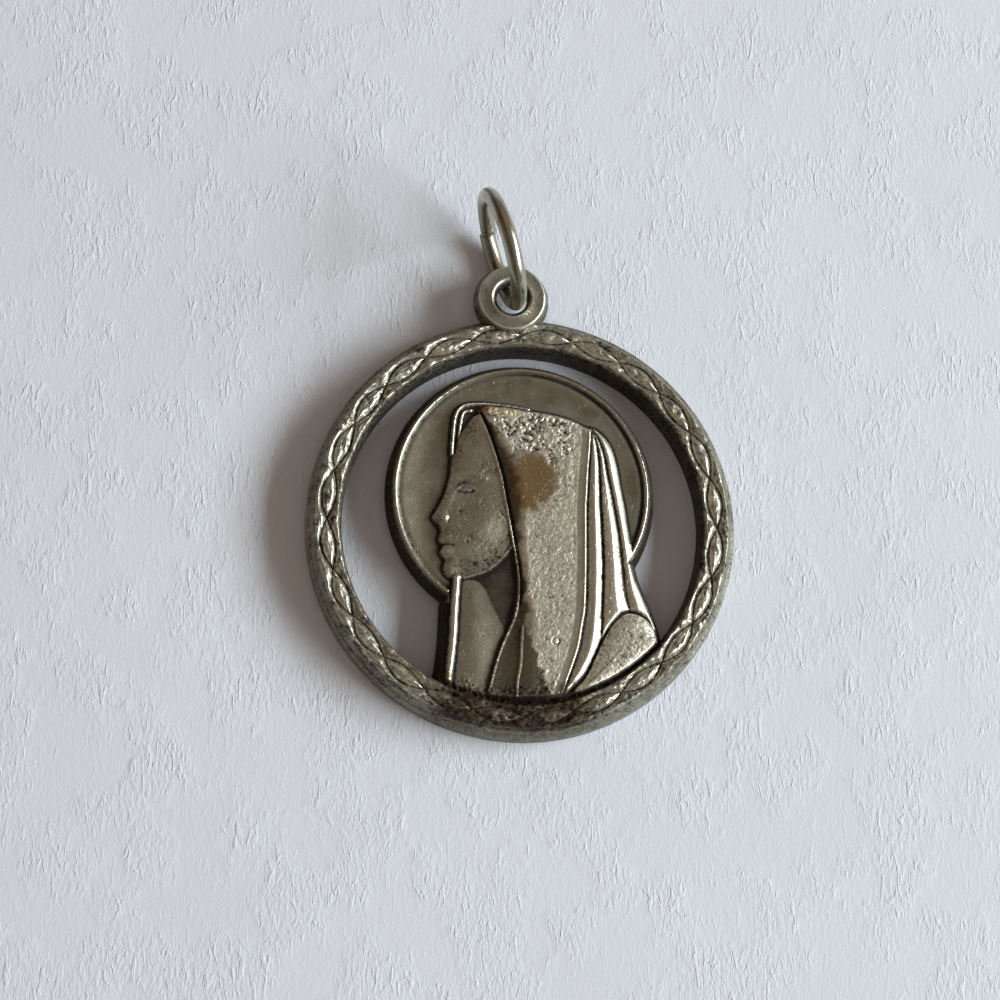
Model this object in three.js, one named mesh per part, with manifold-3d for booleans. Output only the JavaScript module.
// A pierced devotional medal with its jump ring, in millimetres, +Z up.
// The medal lies on its flat back. The origin is the centre of its frame ring on that back,
// +Y points to the eyelet and +Z out of the relief.

import * as THREE from "three";
import { mergeVertices } from "three/addons/utils/BufferGeometryUtils.js";
import Module from "manifold-3d";

const wasm = await Module();
wasm.setup();

// Driving dimensions of the frame ring and its lozenge band
const frameOuterRadius = 11.0;
const frameWidth = 1.85;
const frameThickness = 2.0;
const lozengeCount = 24;
const bandDepth = 0.2;

// Driving dimensions of the halo disc
const haloRadius = 6.93;
const haloThickness = 1.62;
const haloRimHeight = 0.17;
const haloRimHalfWidth = 0.12;
const haloRimInset = 0.51;
const haloWaist = 0.6;
const haloBackDraft = 0.2;
const haloRise = 1.61;
const haloShift = -0.06;

// Driving dimensions of the bust
const figureWidth = 12.0;
const figureHeight = 15.5;
const reliefHeight = 1.15;
const plateThickness = 1.1;
const figureShift = -0.04;
const figureDrop = 0.09;
const rootDepth = 0.45;
const seamLap = 0.05;
const leastRise = 0.02;
const topFade = 0.2;

// Driving dimensions of the eyelet
const eyeletWall = 1.15;
const eyeletThickness = 1.05;
const eyeletProud = 0.1;
const eyeletDraft = 0.24;
const eyeletRounding = 0.07;
const frontCountersink = 0.25;
const backCountersink = 0.62;
const backCountersinkDepth = 0.4;
const eyeletOverlap = 1.1;
const eyeletShift = -0.56;
const wireSetDown = 0.4;

// Driving dimensions of the jump ring
const wireDiameter = 0.82;
const jumpRingOuterDiameter = 6.5;
const wireClearance = 0.39;
const jumpRingTurn = THREE.MathUtils.degToRad(17);
const splitAngle = THREE.MathUtils.degToRad(-53);
const splitGap = 0.22;

// Sizes that follow from them
const frameInnerRadius = frameOuterRadius - frameWidth;
const haloCentre = new THREE.Vector2(haloShift, haloRise);
const footLevel = -frameInnerRadius - figureDrop;
const eyeletHoleRadius = wireDiameter / 2 + wireClearance;
const eyeletRadius = eyeletHoleRadius + eyeletWall;
const eyeletTop = frameThickness + eyeletProud;
const wireCrossingHeight = frameThickness - wireSetDown;
const eyeletCentre = new THREE.Vector2(eyeletShift, frameOuterRadius - eyeletOverlap + eyeletRadius);

// The frame ring's section, from its outer foot over the face to its inner foot.
// across: share of the frame's width, from the bore outwards. up: share of its thickness.
// swing: how far the row moves outwards where the two crossing grooves are widest apart, as a share
// of the frame's width. rise: how far it is raised there, as a share of the band's depth.
const FRAME_SECTION = [
  { across: 1.0, up: 0.0, swing: 0.0, rise: 0.0 },
  { across: 1.0, up: 0.45, swing: 0.0, rise: 0.0 },
  { across: 0.94, up: 0.57, swing: 0.0, rise: 0.0 },
  { across: 0.75, up: 0.92, swing: 0.0, rise: 0.0 },
  { across: 0.64, up: 1.0, swing: 0.05, rise: 0.0 },
  { across: 0.47, up: 0.9, swing: 0.17, rise: 0.0 },
  { across: 0.45, up: 0.9, swing: 0.1, rise: 0.5 },
  { across: 0.43, up: 0.9, swing: 0.0, rise: 0.7 },
  { across: 0.41, up: 0.9, swing: -0.1, rise: 0.5 },
  { across: 0.39, up: 0.9, swing: -0.155, rise: 0.0 },
  { across: 0.22, up: 1.0, swing: -0.04, rise: 0.0 },
  { across: 0.12, up: 0.94, swing: 0.0, rise: 0.0 },
  { across: 0.05, up: 0.75, swing: 0.0, rise: 0.0 },
  { across: 0.0, up: 0.35, swing: 0.0, rise: 0.0 },
  { across: 0.0, up: 0.0, swing: 0.0, rise: 0.0 },
];

// Lines that run down the bust, each from its top to its foot.
// across: share of the figure's width from the medal's axis. up: share of the figure's height.
const LINES = {
  farEdgeFront: [
    { across: -0.275, up: 0.985 },
    { across: -0.292, up: 0.9 },
    { across: -0.31, up: 0.79 },
  ],
  farEdgeBack: [
    { across: -0.235, up: 0.995 },
    { across: -0.26, up: 0.9 },
    { across: -0.28, up: 0.8 },
  ],
  profile: [
    { across: -0.235, up: 0.95 },
    { across: -0.285, up: 0.86 },
    { across: -0.31, up: 0.78 },
    { across: -0.318, up: 0.735 },
    { across: -0.345, up: 0.67 },
    { across: -0.392, up: 0.605 },
    { across: -0.368, up: 0.575 },
    { across: -0.35, up: 0.555 },
    { across: -0.362, up: 0.52 },
    { across: -0.345, up: 0.5 },
    { across: -0.354, up: 0.475 },
    { across: -0.335, up: 0.45 },
    { across: -0.342, up: 0.415 },
    { across: -0.315, up: 0.395 },
  ],
  hem: [
    { across: -0.2, up: 0.987 },
    { across: -0.125, up: 0.842 },
    { across: -0.083, up: 0.697 },
    { across: -0.058, up: 0.555 },
    { across: -0.025, up: 0.432 },
    { across: -0.025, up: 0.297 },
    { across: -0.1, up: 0.155 },
    { across: -0.146, up: 0.0 },
  ],
  jaw: [
    { across: -0.2, up: 0.96 },
    { across: -0.12, up: 0.842 },
    { across: -0.08, up: 0.697 },
    { across: -0.055, up: 0.555 },
    { across: -0.08, up: 0.47 },
    { across: -0.16, up: 0.42 },
    { across: -0.25, up: 0.395 },
  ],
  firstFold: [
    { across: 0.283, up: 0.905 },
    { across: 0.267, up: 0.639 },
    { across: 0.25, up: 0.329 },
    { across: 0.225, up: 0.181 },
    { across: 0.16, up: 0.0 },
  ],
  frontGroove: [
    { across: 0.287, up: 0.905 },
    { across: 0.337, up: 0.723 },
    { across: 0.346, up: 0.465 },
    { across: 0.338, up: 0.219 },
    { across: 0.267, up: 0.103 },
    { across: 0.18, up: 0.0 },
  ],
  frontGrooveTop: [
    { across: 0.287, up: 0.903 },
    { across: 0.337, up: 0.723 },
    { across: 0.346, up: 0.465 },
    { across: 0.34, up: 0.215 },
  ],
  backGroove: [
    { across: 0.292, up: 0.905 },
    { across: 0.359, up: 0.77 },
    { across: 0.402, up: 0.566 },
    { across: 0.45, up: 0.328 },
    { across: 0.485, up: 0.255 },
  ],
  backEdge: [
    { across: 0.296, up: 0.912 },
    { across: 0.372, up: 0.822 },
    { across: 0.411, up: 0.703 },
    { across: 0.446, up: 0.566 },
    { across: 0.488, up: 0.396 },
    { across: 0.544, up: 0.26 },
    { across: 0.575, up: 0.195 },
  ],
  shoulderTop: [
    { across: 0.578, up: 0.185 },
    { across: 0.52, up: 0.262 },
    { across: 0.445, up: 0.287 },
    { across: 0.375, up: 0.255 },
    { across: 0.335, up: 0.185 },
    { across: 0.2, up: 0.01 },
  ],
  shoulderFoot: [
    { across: 0.6, up: 0.155 },
    { across: 0.52, up: 0.1 },
    { across: 0.42, up: 0.045 },
    { across: 0.34, up: 0.015 },
    { across: 0.26, up: -0.01 },
    { across: 0.18, up: -0.03 },
  ],
  chestFront: [
    { across: -0.285, up: 0.395 },
    { across: -0.3, up: 0.25 },
    { across: -0.322, up: 0.04 },
  ],
  chestBack: [
    { across: -0.19, up: 0.4 },
    { across: -0.11, up: 0.32 },
    { across: -0.075, up: 0.23 },
    { across: -0.13, up: 0.0 },
  ],
  barFront: [
    { across: -0.312, up: 0.4 },
    { across: -0.322, up: 0.25 },
    { across: -0.345, up: 0.035 },
  ],
  barBack: [
    { across: -0.28, up: 0.405 },
    { across: -0.295, up: 0.25 },
    { across: -0.318, up: 0.035 },
  ],
};

// Raised forms of the bust, each between two of the lines above.
// frontRise, backRise: height of the form's two edges, and crown: what its middle adds, as shares
// of the relief's height. cells: the grid over the form, across and down.
const FORMS = [
  { front: "farEdgeFront", back: "farEdgeBack", frontRise: 0.6, crown: 0.15, backRise: 0.6, cells: [3, 6] },
  { front: "profile", back: "jaw", frontRise: 0.52, crown: 0.25, backRise: 0.64, cells: [8, 26] },
  { front: "hem", back: "firstFold", frontRise: 0.7, crown: 0.1, backRise: 0.94, cells: [10, 16] },
  { front: "firstFold", back: "frontGroove", frontRise: 0.94, crown: 0.3, backRise: 0.6, cells: [6, 14] },
  { front: "frontGrooveTop", back: "backGroove", frontRise: 0.6, crown: 0.4, backRise: 0.45, cells: [6, 12] },
  { front: "backGroove", back: "backEdge", frontRise: 0.45, crown: 0.3, backRise: 0.15, cells: [5, 12] },
  { front: "shoulderTop", back: "shoulderFoot", frontRise: 0.6, crown: 0.3, backRise: 0.5, cells: [6, 10] },
  { front: "chestFront", back: "chestBack", frontRise: 0.5, crown: 0.2, backRise: 0.5, cells: [6, 8] },
  { front: "barFront", back: "barBack", frontRise: 0.6, crown: 0.15, backRise: 0.6, cells: [3, 6] },
];

// Edge of the plate that carries the bust below the halo, with the same two columns as the lines.
const PLATE_EDGE = [
  { across: -0.32, up: 0.46 },
  { across: -0.342, up: 0.36 },
  { across: -0.355, up: 0.2 },
  { across: -0.368, up: 0.02 },
  { across: 0.0, up: -0.035 },
  { across: 0.35, up: -0.015 },
  { across: 0.6, up: 0.14 },
  { across: 0.583, up: 0.175 },
  { across: 0.544, up: 0.26 },
  { across: 0.488, up: 0.396 },
  { across: 0.446, up: 0.566 },
  { across: 0.3, up: 0.6 },
];

// Fineness of the faceted surfaces
const mergeDistance = 1e-4;
const frameSegments = 6 * lozengeCount;
const haloSegments = 80;
const eyeletSegments = 36;
const wireSides = 10;
const wireSteps = 44;

/** Turns one closed geometry into a solid, with its faces pointing out. */
function toSolid(geometry) {
  geometry.deleteAttribute("normal");
  geometry.deleteAttribute("uv");
  const merged = mergeVertices(geometry, mergeDistance);
  const vertProperties = new Float32Array(merged.attributes.position.array);
  const corners = merged.index.array;
  const triVerts = [];
  for (let corner = 0; corner < corners.length; corner += 3) {
    const [a, b, c] = [corners[corner], corners[corner + 1], corners[corner + 2]];
    if (a !== b && b !== c && c !== a) {
      triVerts.push(a, b, c);
    }
  }
  if (enclosedVolume(vertProperties, triVerts) < 0) {
    triVerts.reverse();
  }
  const mesh = new wasm.Mesh({ numProp: 3, vertProperties, triVerts: new Uint32Array(triVerts) });
  return new wasm.Manifold(mesh);
}

/** Signed volume inside a closed triangle mesh. */
function enclosedVolume(positions, triangles) {
  const [a, b, c] = [new THREE.Vector3(), new THREE.Vector3(), new THREE.Vector3()];
  let volume = 0;
  for (let corner = 0; corner < triangles.length; corner += 3) {
    a.fromArray(positions, 3 * triangles[corner]);
    b.fromArray(positions, 3 * triangles[corner + 1]);
    c.fromArray(positions, 3 * triangles[corner + 2]);
    volume += a.dot(b.cross(c)) / 6;
  }
  return volume;
}

/** Turns a solid back into a geometry. */
function toGeometry(solid) {
  const mesh = solid.getMesh();
  const geometry = new THREE.BufferGeometry();
  geometry.setAttribute("position", new THREE.BufferAttribute(new Float32Array(mesh.vertProperties), 3));
  geometry.setIndex(new THREE.BufferAttribute(new Uint32Array(mesh.triVerts), 1));
  geometry.computeVertexNormals();
  return geometry;
}

/** A lathe form whose axis is Z. */
function turned(points, segments) {
  return new THREE.LatheGeometry(points, segments).rotateX(Math.PI / 2);
}

/** The frame ring: its section turned round, with the rows of the band swung by the wave. */
function frameRing() {
  const rows = [...FRAME_SECTION, FRAME_SECTION[0]];
  const profile = rows.map((row) => new THREE.Vector2(frameInnerRadius + row.across * frameWidth, row.up));
  const geometry = turned(profile, frameSegments);
  const position = geometry.attributes.position;
  for (let index = 0; index < position.count; index += 1) {
    const row = rows[index % rows.length];
    const angle = (2 * Math.PI * Math.floor(index / rows.length)) / frameSegments;
    const opening = Math.abs(Math.sin((lozengeCount / 2) * (angle - Math.PI / 2)));
    const radius = frameInnerRadius + (row.across + row.swing * opening) * frameWidth;
    const height = row.up * frameThickness + row.rise * bandDepth * opening;
    position.setXYZ(index, radius * Math.cos(angle), radius * Math.sin(angle), height);
  }
  return toSolid(geometry);
}

/** The halo disc with its raised rim. */
function haloDisc() {
  const rimRadius = haloRadius - haloRimInset;
  const profile = [
    new THREE.Vector2(0, 0),
    new THREE.Vector2(haloRadius - haloBackDraft, 0),
    new THREE.Vector2(haloRadius, haloWaist),
    new THREE.Vector2(rimRadius + haloRimHalfWidth, haloThickness),
    new THREE.Vector2(rimRadius, haloThickness + haloRimHeight),
    new THREE.Vector2(rimRadius - haloRimHalfWidth, haloThickness),
    new THREE.Vector2(0, haloThickness),
  ];
  return toSolid(turned(profile, haloSegments).translate(haloCentre.x, haloCentre.y, 0));
}

/** The eyelet: a drafted boss with its hole countersunk on both faces, deeper at the back. */
function eyelet() {
  const foot = eyeletTop - eyeletThickness;
  const faceRadius = eyeletRadius - eyeletDraft;
  const profile = [
    new THREE.Vector2(eyeletHoleRadius, foot + backCountersinkDepth),
    new THREE.Vector2(eyeletHoleRadius + backCountersink, foot),
    new THREE.Vector2(eyeletRadius - eyeletRounding, foot),
    new THREE.Vector2(eyeletRadius, foot + eyeletRounding),
    new THREE.Vector2(faceRadius, eyeletTop - eyeletRounding),
    new THREE.Vector2(faceRadius - eyeletRounding, eyeletTop),
    new THREE.Vector2(eyeletHoleRadius + frontCountersink, eyeletTop),
    new THREE.Vector2(eyeletHoleRadius, eyeletTop - frontCountersink),
    new THREE.Vector2(eyeletHoleRadius, foot + backCountersinkDepth),
  ];
  return toSolid(turned(profile, eyeletSegments).translate(eyeletCentre.x, eyeletCentre.y, 0));
}

/** A place on the bust, from its two shares to millimetres. */
function figurePlace(row) {
  return new THREE.Vector2(figureShift + row.across * figureWidth, footLevel + row.up * figureHeight);
}

/** The plate that carries the bust below the halo. */
function figurePlate() {
  const shape = new THREE.Shape(PLATE_EDGE.map(figurePlace));
  return toSolid(new THREE.ExtrudeGeometry(shape, { depth: plateThickness, bevelEnabled: false }));
}

/** One raised form of the bust: a crowned patch between two lines, rooted in the plate. */
function raisedForm(form) {
  const front = new THREE.SplineCurve(LINES[form.front].map(figurePlace));
  const back = new THREE.SplineCurve(LINES[form.back].map(figurePlace));
  const [cellsAcross, cellsDown] = form.cells;
  const geometry = new THREE.BoxGeometry(1, 1, 1, cellsAcross, cellsDown, 1);
  const position = geometry.attributes.position;
  for (let index = 0; index < position.count; index += 1) {
    const across = position.getX(index) + 0.5;
    const down = 0.5 - position.getY(index);
    const place = front.getPoint(down).lerp(back.getPoint(down), across);
    place.x += seamLap * (2 * across - 1);
    const edge = THREE.MathUtils.lerp(form.frontRise, form.backRise, across);
    const fade = topFade * Math.pow(1 - down, 4);
    const rise = edge + form.crown * Math.sin(Math.PI * across) - fade;
    const top = plateThickness + Math.max(rise, leastRise) * reliefHeight;
    const height = position.getZ(index) > 0 ? top : plateThickness - rootDepth;
    position.setXYZ(index, place.x, place.y, height);
  }
  return toSolid(geometry);
}

/** The whole medal, fused into one solid. */
function medalBody() {
  let body = frameRing().add(haloDisc()).add(figurePlate());
  for (const form of FORMS) {
    body = body.add(raisedForm(form));
  }
  return body.add(eyelet());
}

/** The centre line of the open jump ring, in its own plane. */
class WireArc extends THREE.Curve {
  constructor(radius, gapAngle) {
    super();
    this.radius = radius;
    this.gapAngle = gapAngle;
  }

  getPoint(share) {
    const angle = splitAngle + this.gapAngle / 2 + share * (2 * Math.PI - this.gapAngle);
    return new THREE.Vector3(this.radius * Math.cos(angle), 0, this.radius * Math.sin(angle));
  }
}

/** The split ring, standing on edge through the eyelet. */
function jumpRing() {
  const wireRadius = wireDiameter / 2;
  const ringRadius = jumpRingOuterDiameter / 2 - wireRadius;
  const standHeight = jumpRingOuterDiameter / 2;
  const drop = standHeight - wireCrossingHeight;
  const reach = Math.sqrt(ringRadius ** 2 - drop ** 2);
  const section = new THREE.Shape().absarc(0, 0, wireRadius, 0, 2 * Math.PI);
  const geometry = new THREE.ExtrudeGeometry(section, {
    curveSegments: wireSides / 2,
    steps: wireSteps,
    extrudePath: new WireArc(ringRadius, splitGap / ringRadius),
    bevelEnabled: false,
  });
  geometry.rotateZ(Math.PI / 2 + jumpRingTurn);
  geometry.translate(
    eyeletCentre.x - reach * Math.sin(jumpRingTurn),
    eyeletCentre.y + reach * Math.cos(jumpRingTurn),
    standHeight,
  );
  return toSolid(geometry);
}

const agedMetal = new THREE.MeshStandardMaterial({ color: 0x8f8b80, roughness: 0.42, metalness: 0.9 });
const wireMetal = new THREE.MeshStandardMaterial({ color: 0x9b968a, roughness: 0.35, metalness: 0.9 });

const medal = new THREE.Mesh(toGeometry(medalBody()), agedMetal);
medal.name = "medal_body";

const ring = new THREE.Mesh(toGeometry(jumpRing()), wireMetal);
ring.name = "jump_ring";

const pendant = new THREE.Group();
pendant.add(medal, ring);

export default pendant;
